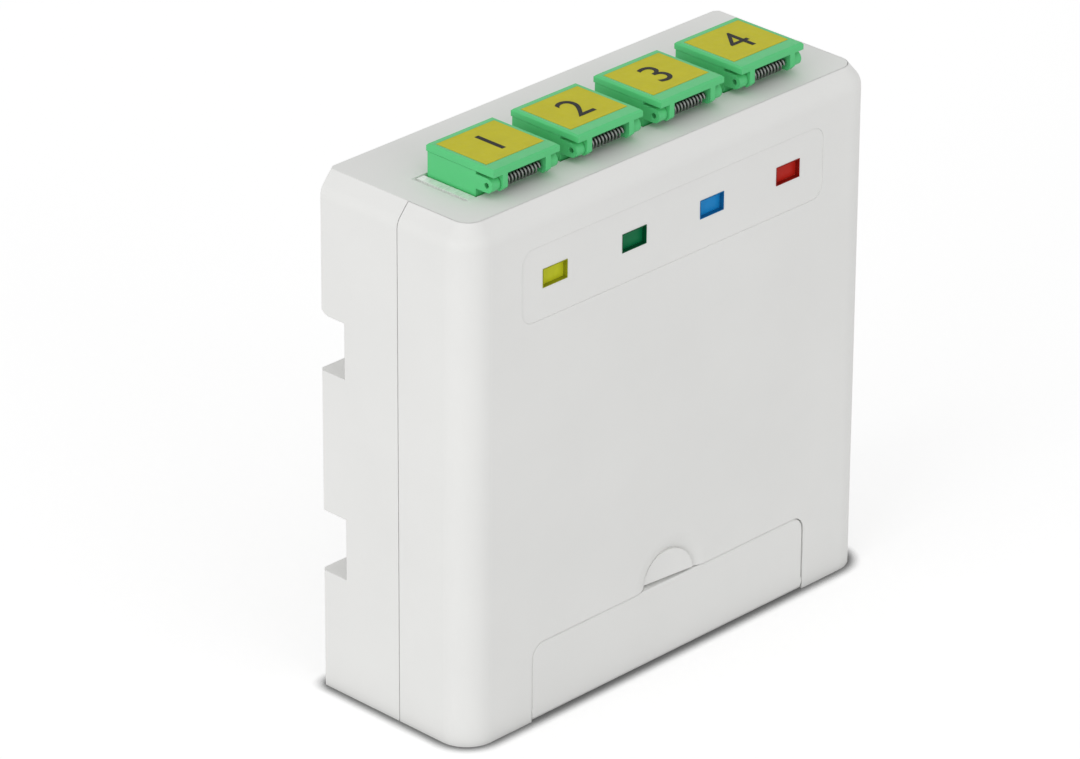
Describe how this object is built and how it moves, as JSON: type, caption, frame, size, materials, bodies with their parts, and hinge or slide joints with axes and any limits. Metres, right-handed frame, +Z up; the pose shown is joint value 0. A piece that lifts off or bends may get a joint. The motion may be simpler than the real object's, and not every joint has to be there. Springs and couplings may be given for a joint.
{
  "type": "fibre distribution box",
  "caption": "Slim upright white fibre distribution box for a top-hat rail, with sprung flaps over green couplers on its top, colour windows and a small access door in front.",
  "frame": {"origin": "middle of the footprint, on the plane of the case's bottom", "axes": "+X to the right as seen from the front, +Y from the front towards the rail side, +Z up"},
  "size_m": [0.075, 0.0264, 0.0773],
  "materials": {
    "case_white": "satin",
    "coupler_green": "satin",
    "holder_white": "satin",
    "ceramic": "polished",
    "clip_steel": "brushed",
    "spring_steel": "dark drawn wire",
    "screw_steel": "zinc plated",
    "label_yellow": "satin",
    "grommet_black": "matt",
    "latch_grey": "satin",
    "marker_yellow": "gloss",
    "marker_green": "gloss",
    "marker_blue": "gloss",
    "marker_red": "gloss"
  },
  "bodies": {
    "case": {"adapter_body_1": "coupler_green", "adapter_body_2": "coupler_green", "adapter_body_3": "coupler_green", "adapter_body_4": "coupler_green", "adapter_clip_1": "clip_steel", "adapter_clip_2": "clip_steel", "adapter_clip_3": "clip_steel", "adapter_clip_4": "clip_steel", "cable_grommet_left": "grommet_black", "cable_grommet_right": "grommet_black", "ceramic_sleeve_1": "ceramic", "ceramic_sleeve_2": "ceramic", "ceramic_sleeve_3": "ceramic", "ceramic_sleeve_4": "ceramic", "colour_marker_blue": "marker_blue", "colour_marker_green": "marker_green", "colour_marker_red": "marker_red", "colour_marker_yellow": "marker_yellow", "cover_screws": "screw_steel", "flap_pin_1": "clip_steel", "flap_pin_2": "clip_steel", "flap_pin_3": "clip_steel", "flap_pin_4": "clip_steel", "flap_spring_1": "spring_steel", "flap_spring_2": "spring_steel", "flap_spring_3": "spring_steel", "flap_spring_4": "spring_steel", "front_cover": "case_white", "latch_spring": "spring_steel", "rear_shell": "case_white", "sleeve_holder_1": "holder_white", "sleeve_holder_2": "holder_white", "sleeve_holder_3": "holder_white", "sleeve_holder_4": "holder_white", "splice_holder": "case_white"},
    "flap_1": {"shutter_flap_1": "coupler_green", "flap_label_1": "label_yellow"},
    "flap_2": {"shutter_flap_2": "coupler_green", "flap_label_2": "label_yellow"},
    "flap_3": {"shutter_flap_3": "coupler_green", "flap_label_3": "label_yellow"},
    "flap_4": {"shutter_flap_4": "coupler_green", "flap_label_4": "label_yellow"},
    "door": {"access_door": "case_white"},
    "latch": {"rail_latch": "latch_grey"}
  },
  "joints": [
    {"name": "flap_1_hinge", "type": "hinge", "parent": "case", "child": "flap_1", "pos_m": [-0.0225, -0.0075, 0.07485], "axis": [1, 0, 0], "range_deg": [0, 100], "stiffness_Nm_per_rad": 0.0015, "springref_deg": -28.65},
    {"name": "flap_2_hinge", "type": "hinge", "parent": "case", "child": "flap_2", "pos_m": [-0.0075, -0.0075, 0.07485], "axis": [1, 0, 0], "range_deg": [0, 100], "stiffness_Nm_per_rad": 0.0015, "springref_deg": -28.65},
    {"name": "flap_3_hinge", "type": "hinge", "parent": "case", "child": "flap_3", "pos_m": [0.0075, -0.0075, 0.07485], "axis": [1, 0, 0], "range_deg": [0, 100], "stiffness_Nm_per_rad": 0.0015, "springref_deg": -28.65},
    {"name": "flap_4_hinge", "type": "hinge", "parent": "case", "child": "flap_4", "pos_m": [0.0225, -0.0075, 0.07485], "axis": [1, 0, 0], "range_deg": [0, 100], "stiffness_Nm_per_rad": 0.0015, "springref_deg": -28.65},
    {"name": "door_hinge", "type": "hinge", "parent": "case", "child": "door", "pos_m": [0, -0.012, 0.0012], "axis": [1, 0, 0], "range_deg": [0, 90]},
    {"name": "latch_slide", "type": "slide", "parent": "case", "child": "latch", "axis": [0, 0, -1], "range_m": [0, 0.003], "stiffness_N_per_m": 800, "springref_m": -0.003, "deforming": ["latch_spring"]}
  ]
}
